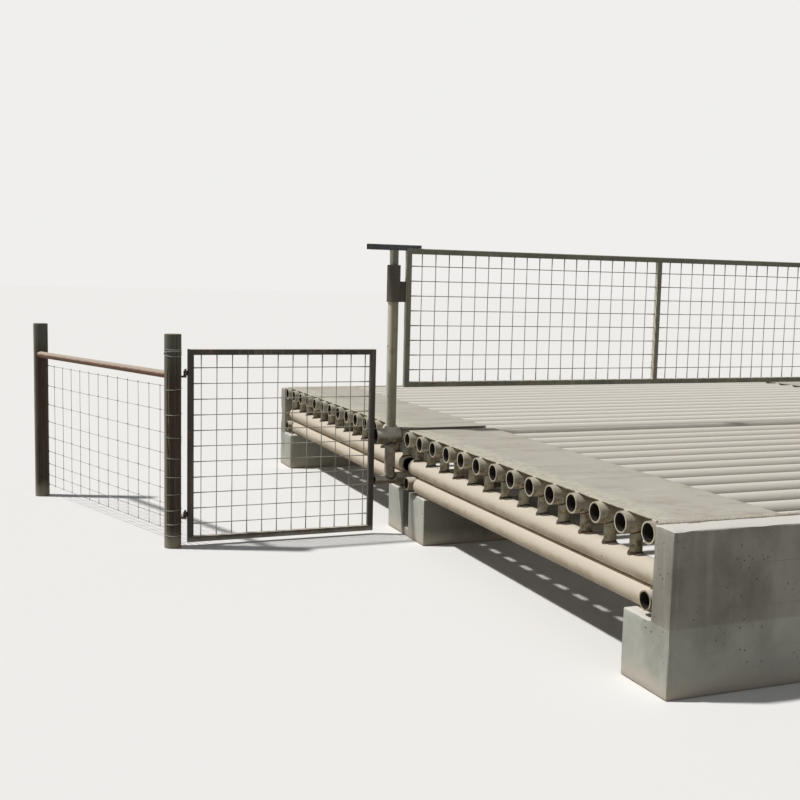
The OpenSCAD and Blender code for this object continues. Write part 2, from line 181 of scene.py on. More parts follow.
class Graph:
    """A tree of shader nodes; for a material, colour is what its coats have come to so far."""

    def __init__(self, tree, material=None):
        self.tree = tree
        self.material = material
        self.colour = None

    def feed(self, node, inputs):
        """Links each input that is a socket, and sets every other one to its value."""
        for key, value in inputs.items():
            if isinstance(value, bpy.types.NodeSocket):
                self.tree.links.new(value, node.inputs[key])
            else:
                node.inputs[key].default_value = value
        return node

    def add(self, kind, inputs=None, **settings):
        node = self.tree.nodes.new("ShaderNode" + kind)
        for name, value in settings.items():
            setattr(node, name, value)
        return self.feed(node, inputs or {})

    def use(self, group, **inputs):
        """One copy of an effect group, with its own values."""
        return self.add("Group", inputs, node_tree=group).outputs

    def calc(self, operation, first, second=0.0, third=0.0):
        return self.add("Math", {0: first, 1: second, 2: third}, operation=operation).outputs[0]

    def times(self, first, second):
        return self.calc("MULTIPLY", first, second)

    def minus(self, first, second):
        return self.calc("SUBTRACT", first, second)

    def plus(self, first, second):
        return self.calc("ADD", first, second)

    def size(self, value):
        return self.calc("ABSOLUTE", value)

    def vector(self, operation, first, second=(0, 0, 0)):
        return self.add("VectorMath", {0: first, 1: second}, operation=operation).outputs

    def ramp(self, value, low, high, start=0.0, end=1.0):
        values = {"Value": value, "From Min": low, "From Max": high, "To Min": start, "To Max": end}
        return self.add("MapRange", values, interpolation_type="SMOOTHSTEP").outputs[0]

    def blend(self, mask, below, above):
        inputs = {0: mask, 6: linear(below), 7: linear(above)}
        return self.add("Mix", inputs, data_type="RGBA").outputs[2]

    def coat(self, mask, tone):
        """Lays a colour over the last one, through a mask."""
        self.colour = self.blend(mask, self.colour, tone)

    def place(self):
        return self.add("TexCoord").outputs["Object"]

    def scaled_place(self, scale):
        return self.add("VectorMath", {0: self.place(), "Scale": scale}, operation="SCALE").outputs[0]

    def at(self, axis):
        return self.add("SeparateXYZ", {0: self.place()}).outputs[axis]

    def facing(self, axis):
        """How a surface faces, by the piece's own axes, so that it stays as the gates swing."""
        return self.add("SeparateXYZ", {0: self.add("TexCoord").outputs["Normal"]}).outputs[axis]

    def speckle(self, vector, scale, detail=4.0, roughness=0.55):
        values = {"Vector": vector, "Scale": scale, "Detail": detail, "Roughness": roughness}
        return self.add("TexNoise", values).outputs[0]

    def streaks(self, vector, scales, detail=4.0, roughness=0.55):
        """Speckle drawn out by a scale of its own along each axis."""
        drawn_out = self.add("Mapping", {"Vector": vector, "Scale": scales}).outputs[0]
        return self.speckle(drawn_out, 1.0, detail, roughness)


# Effects that several materials share


def new_group(name, outputs, **inputs):
    """An empty effect group: its graph, its inputs and a function that wires up an output."""
    tree = bpy.data.node_groups.new(name, "ShaderNodeTree")
    for label, value in inputs.items():
        socket = tree.interface.new_socket(label, in_out="INPUT", socket_type="NodeSocketFloat")
        socket.default_value = value
    for label in outputs:
        tree.interface.new_socket(label, in_out="OUTPUT", socket_type="NodeSocketFloat")
    given = tree.nodes.new("NodeGroupInput").outputs
    result = tree.nodes.new("NodeGroupOutput")

    def send(label, socket):
        tree.links.new(socket, result.inputs[label])

    return Graph(tree), given, send


def weathering_group():
    """Uneven colour: broad patches, fine grain and runs that hang down."""
    g, given, send = new_group("weathering", ["Patches", "Grain", "Runs"], Scale=1.0)
    place = g.scaled_place(given["Scale"])
    send("Patches", g.ramp(g.speckle(place, 3.1, 5.0, 0.6), 0.34, 0.66))
    send("Grain", g.speckle(place, 90.0, 5.0, 0.65))
    send("Runs", g.ramp(g.streaks(place, (38, 38, 2.2)), 0.46, 0.7))
    return g.tree


def lying_dust_group():
    """Dust that has settled on whatever faces up, with a ragged edge."""
    g, given, send = new_group("lying_dust", ["Mask"], Cover=0.5, Rag=0.35)
    ragged = g.times(g.minus(g.speckle(g.place(), 17.0, 6.0, 0.62), 0.5), given["Rag"])
    level = g.plus(g.calc("MULTIPLY_ADD", g.facing("Z"), 0.5, 0.5), ragged)
    send("Mask", g.ramp(g.minus(level, g.minus(1.0, given["Cover"])), -0.12, 0.14))
    return g.tree


def rust_group():
    """Rust in blooms and freckles, with the depth of its pitting."""
    g, given, send = new_group("rust_bloom", ["Mask", "Depth"], Amount=0.3, Scale=1.0)
    place = g.scaled_place(given["Scale"])
    blooms = g.speckle(place, 9.0, 8.0, 0.66)
    freckles = g.speckle(place, 60.0, 4.0, 0.7)
    both = g.calc("MULTIPLY_ADD", freckles, 0.35, g.times(blooms, 0.65))
    start = g.calc("MULTIPLY_ADD", given["Amount"], -0.32, 0.68)
    mask = g.ramp(g.minus(both, start), -0.03, 0.05)
    send("Mask", mask)
    send("Depth", g.times(mask, freckles))
    return g.tree


def bore_group():
    """The inside of a row of pipes, found from the distance to their axes."""
    g, given, send = new_group("pipe_bore", ["Mask"], Across=0.0, Height=0.0, Pitch=1.0, Shift=0.0,
                               Centre=0.0, Radius=0.05)
    turns = g.calc("DIVIDE", g.minus(given["Across"], given["Shift"]), given["Pitch"])
    beside = g.times(g.minus(turns, g.calc("ROUND", turns)), given["Pitch"])
    above = g.minus(given["Height"], given["Centre"])
    square = g.plus(g.times(beside, beside), g.times(above, above))
    send("Mask", g.calc("LESS_THAN", g.calc("SQRT", square), given["Radius"]))
    return g.tree


def splash_group():
    """Pale ground dust splashed up from the foot of a piece."""
    g, given, send = new_group("ground_splash", ["Mask"], Reach=0.1)
    wander = g.times(g.speckle(g.place(), 11.0, 6.0, 0.65), given["Reach"])
    level = g.calc("DIVIDE", g.minus(g.at("Z"), wander), given["Reach"])
    send("Mask", g.ramp(level, -0.4, 0.9, 1.0, 0.0))
    return g.tree


def worn_edge_group():
    """Where corners are rubbed, from the difference between the true and the rounded normal."""
    g, given, send = new_group("worn_edge", ["Mask"], Width=0.004, Rub=0.5)
    rounded = g.add("Bevel", {"Radius": given["Width"]}, samples=4).outputs[0]
    true_normal = g.add("NewGeometry").outputs["True Normal"]
    alike = g.vector("DOT_PRODUCT", rounded, true_normal)["Value"]
    rough = g.speckle(g.place(), 55.0, 5.0, 0.7)
    worn = g.times(g.minus(1.0, alike), g.times(rough, 6.0))
    send("Mask", g.times(g.ramp(worn, 0.15, 0.55), given["Rub"]))
    return g.tree


weathering = weathering_group()
lying_dust = lying_dust_group()
rust_bloom = rust_group()
pipe_bore = bore_group()
ground_splash = splash_group()
worn_edge = worn_edge_group()


# Steel

pale_dust = (212, 203, 188)
rust_brown = (104, 72, 50)
# Near black for the inside of the bores: painted shade with dark rust
bore_rust_and_shade = (34, 25, 16)


def new_material(name):
    material = bpy.data.materials.new(name)
    material.use_nodes = True
    return Graph(material.node_tree, material)


def finish(g, roughness, height, depth, strength=0.6, metallic=0.0):
    """Gives the surface its last colour, its roughness and its relief."""
    bump = g.add("Bump", {"Height": height, "Distance": depth, "Strength": strength}).outputs[0]
    looks = {"Base Color": g.colour, "Roughness": roughness, "Normal": bump, "Metallic": metallic}
    g.feed(g.tree.nodes["Principled BSDF"], looks)
    return g.material


def toward_left(g):
    """How far a surface faces -X: the weather side, and the side the key light falls on."""
    return g.times(g.facing("X"), -1.0)


def cut_ends(g, axis):
    """Scabbed metal where a pipe is cut off square to the axis."""
    scab = g.ramp(g.speckle(g.place(), 26.0, 3.0), 0.4, 0.6)
    cut = g.calc("GREATER_THAN", g.size(g.facing(axis)), 0.93)
    g.coat(cut, g.blend(scab, (184, 171, 146), (122, 104, 80)))


def blown_streaks(g, strength):
    """Dust blown into streaks along X, with dull worn patches."""
    blown = g.streaks(g.place(), (1.6, 8.0, 1.0), 7.0, 0.7)
    worn = g.speckle(g.place(), 6.0, 5.0, 0.65)
    g.coat(g.ramp(blown, 0.48, 0.72, 0.0, strength), (142, 134, 119))
    g.coat(g.ramp(worn, 0.52, 0.7, 0.0, strength), (160, 146, 126))
    g.coat(g.ramp(blown, 0.26, 0.44, strength, 0.0), (216, 210, 198))


def blotches_and_painted_light(g, start):
    """Pale blotches on every side of a piece, past a distance from the middle: dust mottling, and painted
    light on shaded sides.
    """
    blotches = g.ramp(g.speckle(g.place(), 24.0, 5.0, 0.7), 0.42, 0.58, 0.0, 0.8)
    outer = g.ramp(g.size(g.at("X")), start, start + 0.07)
    # pale patches: dust, and painted light where the sides lie in shade
    g.coat(g.times(blotches, outer), (204, 199, 174))


def paint_bore_shade_and_rust(g, rows):
    """Painted shade, with dark rust, inside rows of pipes, each row by its axis, pitch, first pipe, height
    and radius.
    """
    for axis, pitch, first, centre, radius in rows:
        inside = g.use(pipe_bore, Across=g.size(g.at(axis)), Height=g.at("Z"), Pitch=pitch,
                       Shift=first, Centre=centre, Radius=radius)
        # painted shade and dark rust inside each bore
        g.coat(inside["Mask"], bore_rust_and_shade)


def steel_finish(name, dark, light, dust=pale_dust, cover=0.3, rust=0.25, runs=0.3, bare_rough=0.72,
                 ends=None, bores=(), rub=0.0, splash=0.0, clean_from=0.0, blotched_and_lit_from=0.0, drift=0.0,
                 fade_and_painted_light=0.0):
    """Weathered steel: two tones, rust, dust on top, cut ends, and painted shade with dark rust in the
    bores.

    clean_from is the distance from the middle past which little dust lies, blotched_and_lit_from
    the one past which pale blotches of dust and painted light show, drift how strongly dust is
    blown into streaks along X, and fade_and_painted_light how far the faces towards -X are paled,
    partly by sun fading and partly as painted light."""
    g = new_material(name)
    uneven = g.use(weathering, Scale=1.0)
    g.colour = g.blend(uneven["Patches"], dark, light)
    g.coat(g.times(uneven["Runs"], runs), dust)
    if fade_and_painted_light:
        # faces towards -X paled: sun fading, and painted light from the key's side
        g.coat(g.ramp(toward_left(g), 0.35, 0.9, 0.0, fade_and_painted_light), (226, 221, 203))
    rusted = g.use(rust_bloom, Amount=rust, Scale=1.0)
    g.coat(g.times(rusted["Mask"], 0.8), rust_brown)
    if rub:
        g.coat(g.use(worn_edge, Width=0.003, Rub=rub)["Mask"], rust_brown)
    if ends:
        cut_ends(g, ends)
    dusty = g.use(lying_dust, Cover=cover, Rag=0.35)["Mask"]
    dusty = g.times(dusty, g.ramp(uneven["Grain"], 0.2, 0.5, 0.8, 1.0))
    if clean_from:
        wander = g.calc("MULTIPLY_ADD", uneven["Patches"], 0.03, g.size(g.at("X")))
        dusty = g.times(dusty, g.ramp(wander, clean_from, clean_from + 0.06, 1.0, 0.42))
    g.coat(dusty, dust)
    if drift:
        blown_streaks(g, drift)
    if blotched_and_lit_from:
        blotches_and_painted_light(g, blotched_and_lit_from)
    if splash:
        g.coat(g.use(ground_splash, Reach=splash)["Mask"], dust)
    paint_bore_shade_and_rust(g, bores)
    rough = g.calc("MULTIPLY_ADD", dusty, 0.95 - bare_rough, bare_rough)
    return finish(g, rough, g.calc("MULTIPLY_ADD", uneven["Grain"], 0.5, rusted["Depth"]), 0.0012)


def wire_finish(name, tone, old_tone, rust):
    """Zinc-coated wire, dulled, with spots of rust."""
    g = new_material(name)
    uneven = g.use(weathering, Scale=2.0)
    g.colour = g.blend(uneven["Patches"], tone, old_tone)
    g.coat(g.use(rust_bloom, Amount=rust, Scale=2.0)["Mask"], rust_brown)
    rough = g.ramp(uneven["Grain"], 0.0, 1.0, 0.45, 0.7)
    return finish(g, rough, uneven["Grain"], 0.0004, metallic=0.35)


# Radii out to which the bores are painted dark as shade and rust, each a little more than the pipe's own
# bore
stringer_bore = stringer_radius - 0.0083
deck_bore = pipe_radius - 0.0081
cross_bore = cross_radius - 0.0073
bracket_bore = bracket_radius - 0.005
low_bracket_bore = low_bracket_radius - 0.0042
alone = 1.0

stringer_bores = [("X", line_step, 0.0, height, stringer_bore) for height in (lower_z, upper_z)]
deck_bores = [("Y", pipe_pitch, first_y, pipe_z, deck_bore)]
cross_bores = [("Y", row_end - first_y, first_y, cross_z, cross_bore)]
bracket_bores = [
    ("Y", alone, post_y, pipe_z, bracket_bore),
    ("Y", alone, post_y, low_bracket_z, low_bracket_bore),
]
deck_look = dict(dust=(228, 220, 207), cover=0.58, rust=0.32, runs=0.25, ends="X", bores=deck_bores,
                 clean_from=edge - 0.12, blotched_and_lit_from=edge - 0.14)
deck_steel = steel_finish("near_deck_pipe", (104, 92, 71), (138, 123, 98), **deck_look)
deck_look.update(dust=(234, 227, 215), cover=0.76)
far_deck_steel = steel_finish("far_deck_pipe", (126, 114, 92), (160, 147, 122), **deck_look)
stringer_steel = steel_finish("dusty_stringer_pipe", (184, 168, 143), (214, 200, 178), cover=0.5,
                              dust=(219, 207, 188), rust=0.22, runs=0.2, ends="Y", bores=stringer_bores)
cross_steel = steel_finish("cross_pipe_steel", (112, 100, 82), (150, 136, 112), cover=0.35, rust=0.35,
                           ends="X", bores=cross_bores)
leg_steel = steel_finish("leg_steel", (108, 99, 74), (160, 149, 118), cover=0.12, rust=0.38, runs=0.6,
                         blotched_and_lit_from=line_x - 0.2)
weld_steel = steel_finish("burnt_weld", (44, 36, 27), (72, 61, 47), cover=0.1, rust=0.5, runs=0.1)
# pale weld tone: dust, and painted light on the post's foot
dusty_lit_weld = steel_finish("dusty_weld_painted_light", (168, 158, 136), (200, 190, 168), dust=(224, 216, 200), cover=0.5,
                         rust=0.2, runs=0.1)
plate_steel = steel_finish("tread_plate_steel", (140, 131, 114), (166, 157, 140), dust=(188, 181, 168),
                           cover=0.42, rust=0.2, runs=0.0, drift=0.5, blotched_and_lit_from=edge - 0.2)
bracket_steel = steel_finish("bracket_steel", (86, 76, 56), (124, 111, 87), cover=0.5, rust=0.4,
                             ends="X", bores=bracket_bores)
post_steel = steel_finish("post_paint", (128, 121, 97), (152, 145, 120), cover=0.12, rust=0.24, runs=0.2,
                          bare_rough=0.5, fade_and_painted_light=0.9)
gate_paint = steel_finish("gate_paint", (98, 99, 83), (122, 121, 102), cover=0.36, rust=0.26, runs=0.12,
                          bare_rough=0.5, rub=0.7, fade_and_painted_light=0.9)
# dark blue-grey tone: the bar's paint with painted shade and a sky tint
head_bar_shade_paint = steel_finish("head_bar_paint_and_shade", (36, 43, 52), (52, 59, 67), cover=0.1, rust=0.22, runs=0.1,
                          bare_rough=0.5, rub=0.5)
collar_steel = steel_finish("collar_steel", (56, 48, 38), (84, 73, 58), cover=0.1, rust=0.4, runs=0.15,
                            bare_rough=0.6, rub=0.6)
side_steel = steel_finish("side_gate_steel", (40, 34, 27), (60, 52, 42), cover=0.24, rust=0.35, runs=0.15,
                          bare_rough=0.6, rub=0.5, splash=0.05)
brace_steel = steel_finish("rusty_brace_pipe", (86, 55, 37), (120, 82, 58), dust=(196, 178, 160),
                           cover=0.4, rust=0.45, runs=0.15, ends="Y")
gate_wire = wire_finish("gate_wire", (170, 168, 154), (134, 129, 114), 0.25)
net_zinc = wire_finish("net_wire", (176, 176, 168), (140, 138, 128), 0.15)


# Concrete, dirt and timber

pale_cement = (206, 207, 195)
dull_cement = (180, 182, 170)


def bug_holes(g):
    """The small round holes that air leaves in a cast face, in loose groups."""
    holes = g.add("TexVoronoi", {"Vector": g.place(), "Scale": 34.0, "Randomness": 1.0})
    rare = g.ramp(g.speckle(g.place(), 5.0, 3.0), 0.5, 0.62)
    return g.times(g.ramp(holes.outputs["Distance"], 0.1, 0.2, 1.0, 0.0), rare)


def board_marks(g, strength):
    """Broken lines left by the boards of the form."""
    line = g.ramp(g.calc("PINGPONG", g.at("Z"), board_height / 2), 0.0, 0.0035, strength, 0.0)
    return g.times(line, g.ramp(g.speckle(g.place(), 1.9, 3.0), 0.46, 0.6))


def concrete_finish(name, tone, dark_tone, board=0.0, pour=0.0, under_deck_shade=0.0):
    """Cast concrete: cement mottling, bug holes with painted shade in them, board marks, runs and ground
    dust.

    pour is the height up to which an earlier, paler batch reaches, and under_deck_shade how far
    the faces across the road are darkened as painted shade under the deck."""
    g = new_material(name)
    uneven = g.use(weathering, Scale=0.7)
    g.colour = g.blend(uneven["Patches"], dark_tone, tone)
    if pour:
        early = g.ramp(g.at("Z"), pour - 0.012, pour + 0.004, 1.0, 0.0)
        g.coat(early, g.blend(uneven["Patches"], dull_cement, pale_cement))
    fine = g.speckle(g.place(), 240.0, 2.0)
    g.coat(g.ramp(fine, 0.45, 0.75, 0.0, 0.35), (112, 108, 98))
    g.coat(g.times(uneven["Runs"], 0.28), (205, 199, 184))
    stain = g.streaks(g.place(), (2.6, 2.6, 1.5), 6.0)
    g.coat(g.ramp(stain, 0.5, 0.72, 0.0, 0.42), (86, 80, 70))
    if under_deck_shade:
        # faces across the road darkened: painted shade under the deck
        g.coat(g.ramp(g.size(g.facing("Y")), 0.6, 0.95, 0.0, under_deck_shade), (84, 82, 70))
    hole = bug_holes(g)
    # painted shade in the bug holes
    g.coat(g.times(hole, 0.7), (70, 65, 56))
    marks = board_marks(g, board)
    g.coat(g.times(marks, 0.35), (90, 85, 76))
    g.coat(g.times(g.use(lying_dust, Cover=0.28, Rag=0.5)["Mask"], 0.88), (226, 222, 212))
    g.coat(g.use(ground_splash, Reach=0.09)["Mask"], pale_dust)
    relief = g.plus(g.minus(g.times(fine, 0.25), hole), g.times(marks, 0.5))
    return finish(g, g.ramp(fine, 0.0, 1.0, 0.82, 0.96), relief, 0.003)


def dirt_finish():
    """Caked road dust with small stones in it."""
    g = new_material("caked_dirt")
    stones = g.add("TexVoronoi", {"Vector": g.place(), "Scale": 95.0}).outputs["Distance"]
    fine = g.speckle(g.place(), 160.0, 5.0, 0.6)
    g.colour = g.blend(g.ramp(fine, 0.35, 0.65), (168, 158, 140), (212, 204, 188))
    g.coat(g.ramp(stones, 0.1, 0.3, 0.5, 0.0), (226, 220, 206))
    return finish(g, g.ramp(fine, 0.0, 1.0, 0.9, 1.0), g.minus(fine, stones), 0.004)


def sawn_top(g, centred, streaks):
    """Growth rings round the post's own axis."""
    flat = g.vector("MULTIPLY", centred, (1, 1, 0))[0]
    from_heart = g.vector("LENGTH", flat)["Value"]
    rings = g.calc("PINGPONG", g.plus(from_heart, g.times(streaks, 0.006)), 0.002)
    return g.blend(g.ramp(rings, 0.0, 0.002), (96, 82, 64), (146, 132, 110))


def timber_finish(name, centre):
    """A round post: dark preservative, grey fibres, a -X side paled by weather and painted light, rings on
    the sawn top.
    """
    g = new_material(name)
    centred = g.vector("SUBTRACT", g.place(), (centre.x, centre.y, 0))[0]
    fibres = g.streaks(centred, (70, 70, 2.4), 8.0, 0.6)
    streaks = g.streaks(centred, (22, 22, 0.9), 5.0, 0.55)
    g.colour = g.blend(g.ramp(streaks, 0.35, 0.65), (46, 35, 25), (80, 66, 50))
    g.coat(g.ramp(fibres, 0.52, 0.74, 0.0, 0.6), (130, 120, 104))
    g.coat(g.ramp(fibres, 0.3, 0.42, 0.85, 0.0), (32, 25, 18))
    # -X side paled: weathering, and painted light from the key's side
    g.coat(g.ramp(toward_left(g), 0.7, 0.95, 0.0, 0.6), (168, 160, 140))
    top = centre.z * 2
    g.coat(g.ramp(g.at("Z"), top - 0.3, top - 0.05, 0.0, 0.65), (112, 115, 103))
    g.coat(g.ramp(g.facing("Z"), 0.6, 0.85), sawn_top(g, centred, streaks))
    g.coat(g.use(ground_splash, Reach=0.1)["Mask"], (158, 148, 132))
    return finish(g, g.ramp(fibres, 0.2, 0.8, 0.78, 0.95), fibres, 0.003, 0.8)


wall_concrete = concrete_finish("wall_concrete", (188, 184, 173), (156, 151, 140), board=0.8,
                                pour=lower_z - stringer_radius)
footing_concrete = concrete_finish("footing_concrete", pale_cement, dull_cement, board=0.4, under_deck_shade=0.6)
dirt = dirt_finish()
hinge_timber = timber_finish("hinge_post_timber", near_post)
brace_timber = timber_finish("brace_post_timber", far_post)


# Finishes of the solids

finishes = [
    (deck_steel, ["near_deck_pipes"]),
    (far_deck_steel, ["far_deck_pipes"]),
    (stringer_steel, ["near_lower_stringers", "far_lower_stringers"]),
    (stringer_steel, ["near_upper_stringers", "far_upper_stringers"]),
    (cross_steel, ["near_cross_pipes", "far_cross_pipes"]),
    (leg_steel, leg_lines),
    (plate_steel, ["near_tread_plates", "far_tread_plates"]),
    (post_steel, ["gate_post", "latch_post"]),
    (bracket_steel, ["gate_post_brackets", "latch_post_brackets", "gate_post_strut", "latch_post_strut"]),
    (gate_paint, ["pivot_tube", "gate_top_rail", "gate_bottom_rail", "gate_hinge_stile"]),
    (gate_paint, ["gate_latch_stile", "gate_uprights"]),
    (head_bar_shade_paint, ["head_bar"]),
    (collar_steel, ["hinge_collar", "hinge_hooks"]),
    (gate_wire, ["gate_mesh_1", "gate_mesh_2", "gate_mesh_3", "side_gate_mesh"]),
    (side_steel, ["side_gate_top_rail", "side_gate_bottom_rail", "side_gate_eyes"]),
    (side_steel, ["side_gate_hinge_stile", "side_gate_latch_stile"]),
    (brace_steel, ["brace_pipe"]),
    (net_zinc, ["fence_net"]),
    (wall_concrete, ["near_abutment", "far_abutment"]),
    (footing_concrete, ["middle_footing"]),
    (hinge_timber, ["hinge_post"]),
    (brace_timber, ["brace_post"]),
]
for look, nodes in finishes:
    for node in nodes:
        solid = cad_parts[node]
        solid.data.materials.clear()
        solid.data.materials.append(look)


# Shape helpers


def as_mesh(name, bm):
    mesh = bpy.data.meshes.new(name)
    bm.to_mesh(mesh)
    bm.free()
    return mesh


def make_piece(name, bm, material, body, stands_for=(), crease=40):
    """Turns a finished bmesh into a piece that rides on its body."""
    bmesh.ops.recalc_face_normals(bm, faces=bm.faces)
    for face in bm.faces:
        face.smooth = True
    for side in bm.edges:
        side.smooth = side.calc_face_angle(0.0) < radians(crease)
    piece = put_in_scene(name, as_mesh(name, bm))
    piece.data.materials.append(material)
    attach(piece, body)
    if stands_for:
        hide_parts(*stands_for)


def verts_among(grown):
    return [g for g in grown["geom"] if isinstance(g, bmesh.types.BMVert)]


def ring_edges(ring):
    members = set(ring)
    touching = dict.fromkeys(e for v in ring for e in v.link_edges)
    return [e for e in touching if set(e.verts) <= members]


def draw_bar(bm, path, radius, sides=6, loop=False):
    """Draws a round bar along a path; radius is one number, or one for each point."""
    count = len(path)
    radii = radius if isinstance(radius, list) else [radius] * count
    ring = bmesh.ops.create_circle(bm, cap_ends=False, segments=sides, radius=1.0)["verts"]
    first = ring_edges(ring)
    edges = first
    place = Matrix.Identity(4)
    heading = None
    for i, point in enumerate(path):
        behind = path[i - 1] if i or loop else point
        ahead = path[(i + 1) % count] if i < count - 1 or loop else point
        direction = (ahead - behind).normalized()
        if heading is None:
            turn = direction.to_track_quat("Z", "Y")
        else:
            turn = heading.rotation_difference(direction) @ turn
            ring = verts_among(bmesh.ops.extrude_edge_only(bm, edges=edges))
            edges = ring_edges(ring)
        heading = direction
        target = Matrix.LocRotScale(point, turn, Vector((radii[i], radii[i], 1)))
        bmesh.ops.transform(bm, matrix=target @ place.inverted(), verts=ring)
        place = target
    if loop:
        bmesh.ops.bridge_loops(bm, edges=first + edges)
    else:
        bmesh.ops.contextual_create(bm, geom=first)
        bmesh.ops.contextual_create(bm, geom=edges)


def rippled(count, thick, thin):
    """Radii that swell and shrink by turns, as a bead of weld does."""
    return [thick if i % 2 else thin for i in range(count)]


def draw_weld(bm, start, end, count, thick, thin):
    """A straight run of weld."""
    path = [start.lerp(end, i / (count - 1)) for i in range(count)]
    draw_bar(bm, path, rippled(count, thick, thin))


def round_points(centre, across, up, count):
    """Points round an oval, by its two half widths."""
    angles = [tau * i / count for i in range(count)]
    return [centre + across * cos(angle) + up * sin(angle) for angle in angles]


def as_pattern(name, bm):
    """Keeps a small shape as a mesh, to be stamped many times."""
    bmesh.ops.recalc_face_normals(bm, faces=bm.faces)
    return as_mesh(name, bm)


def stamp(bm, pattern, spot, turn=Matrix.Identity(4)):
    """Copies a pattern to a spot, turned about its own middle."""
    start = len(bm.verts)
    bm.from_mesh(pattern)
    bm.verts.ensure_lookup_table()
    bmesh.ops.transform(bm, matrix=Matrix.Translation(spot) @ turn, verts=bm.verts[start:])


def turned(angle):
    return Matrix.Rotation(angle, 4, "Z")


def slice_up(bm, axis, low, high, step):
    """Cuts a shape across one axis, so that its surface can be worked."""
    count = max(1, round((high - low) / step))
    facing = Vector((0, 0, 0))
    facing[axis] = 1
    for i in range(1, count):
        at = facing * (low + (high - low) * i / count)
        everything = bm.verts[:] + bm.edges[:] + bm.faces[:]
        bmesh.ops.bisect_plane(bm, geom=everything, plane_co=at, plane_no=facing)


def round_edges(bm, edges, offset):
    bmesh.ops.bevel(bm, geom=edges, offset=offset, affect="EDGES", segments=2, profile=0.5, material=-1)


# Footings


def cast_wear(vert):
    """How deep a cast face is worn there: a slow wave, and chips along the arrises."""
    depth = 0.0022 * (0.5 + 0.5 * noise.noise(vert.co * 3.0))
    normals = [f.normal for f in vert.link_faces]
    if any(a.dot(b) < 0.95 for a in normals for b in normals):
        chip = max(0.0, noise.noise(vert.co * 7.0 + Vector((3, 1, 5))) - 0.22)
        depth += 0.028 * chip + 0.0025 * abs(noise.noise(vert.co * 40.0))
    return depth


def cast_block(name, outline, x_low, x_high, material, node):
    """A cast block along X, its arrises rounded, chipped here and there, its faces slightly uneven."""
    bm = bmesh.new()
    face = bm.faces.new([bm.verts.new((x_low, y, z)) for y, z in outline])
    moved = verts_among(bmesh.ops.extrude_face_region(bm, geom=[face]))
    bmesh.ops.translate(bm, verts=moved, vec=(x_high - x_low, 0, 0))
    bmesh.ops.recalc_face_normals(bm, faces=bm.faces)
    round_edges(bm, bm.edges[:], 0.009)
    low = Vector([min(v.co[i] for v in bm.verts) for i in range(3)])
    high = Vector([max(v.co[i] for v in bm.verts) for i in range(3)])
    for axis, step in enumerate((0.03, 0.04, 0.035)):
        slice_up(bm, axis, low[axis], high[axis], step)
    bm.normal_update()
    shifts = [(vert, vert.normal * -cast_wear(vert)) for vert in bm.verts]
    for vert, shift in shifts:
        if vert.co.z > low.z + 0.001:
            vert.co += shift
    make_piece(name, bm, material, "grid", (node,), crease=50)


def abutment(name, node, side):
    """An end footing: the ledge under the stringers, and the wall that holds the road back."""
    low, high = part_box(node)
    outer, ledge = (high.y, low.y) if side > 0 else (low.y, high.y)
    wall = side * wall_y
    seat_z = lower_z - stringer_radius - seat_ease
    outline = [(ledge, 0), (outer, 0), (outer, high.z), (wall, high.z), (wall, seat_z), (ledge, seat_z)]
    cast_block(name, outline, low.x, high.x, wall_concrete, node)


def middle_block():
    """The footing under the joint of the two units: a pad with a seat for each."""
    low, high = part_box("middle_footing")
    inner = seat_gap / 2
    outline = [
        (low.y, 0), (high.y, 0), (high.y, high.z), (inner, high.z), (inner, pad_height),
        (-inner, pad_height), (-inner, high.z), (low.y, high.z),
    ]
    cast_block("cast_middle_footing", outline, low.x, high.x, footing_concrete, "middle_footing")


abutment("cast_near_abutment", "near_abutment", -1)
abutment("cast_far_abutment", "far_abutment", 1)
middle_block()


# Deck covering


def tread_plates(node):
    """Steel sheets that have settled a little between their welds, with eased edges."""
    low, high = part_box(node)
    bm = bmesh.new()
    for hand in (-1, 1):
        start = len(bm.verts)
        plate = bmesh.ops.create_cube(bm, size=1.0)["verts"]
        centre = Vector((hand * (high.x - plate_width / 2), (low.y + high.y) / 2, (low.z + high.z) / 2))
        size = Vector((plate_width, high.y - low.y, high.z - low.z))
        bmesh.ops.transform(bm, matrix=Matrix.LocRotScale(centre, None, size), verts=plate)
        bm.verts.ensure_lookup_table()
        sides = dict.fromkeys(e for v in bm.verts[start:] for e in v.link_edges)
        round_edges(bm, list(sides), 0.0012)
    slice_up(bm, 1, low.y, high.y, 0.036)
    for hand in (-1, 1):
        slice_up(bm, 0, *sorted((hand * high.x, hand * (high.x - plate_width))), 0.04)
    for vert in bm.verts:
        over_pipe = cos(tau * (vert.co.y - first_y) / pipe_pitch)
        slow = noise.noise(Vector((vert.co.x * 2.2, vert.co.y * 1.1, 3)))
        slack = 0.0009 * (1 - over_pipe) * (1 + slow)
        vert.co.z += 0.0014 * (0.5 + 0.5 * noise.noise(vert.co * 1.7)) - slack * 0.6
    make_piece(node.replace("_plates", "_sheets"), bm, plate_steel, "grid", (node,))


def joint_dirt(name, side):
    """Caked dust along the joint between the last pipe and the end wall."""
    bm = bmesh.new()
    path, radii = [], []
    count = 240
    for i in range(count + 1):
        x = edge * (2 * i / count - 1) * 0.995
        lump = noise.noise(Vector((x * 5.0, side, 2.0)))
        path.append(Vector((x, side * (wall_y - 0.011 - 0.004 * lump), 0)))
        radii.append(0.018 + 0.005 * noise.noise(Vector((x * 9.0, side, 7.0))))
    radii[0] = radii[-1] = 0.006
    draw_bar(bm, path, radii, sides=10)
    top = pipe_z + pipe_radius
    for vert in bm.verts:
        lift = 0.003 * noise.noise(vert.co * 23.0)
        vert.co.z = top + 0.001 + lift + vert.co.z * (0.35 if vert.co.z > 0 else 1.6)
    make_piece(name, bm, dirt, "grid")


tread_plates("near_tread_plates")
tread_plates("far_tread_plates")
joint_dirt("near_joint_dirt", -1)
joint_dirt("far_joint_dirt", 1)


# Welds of the grid


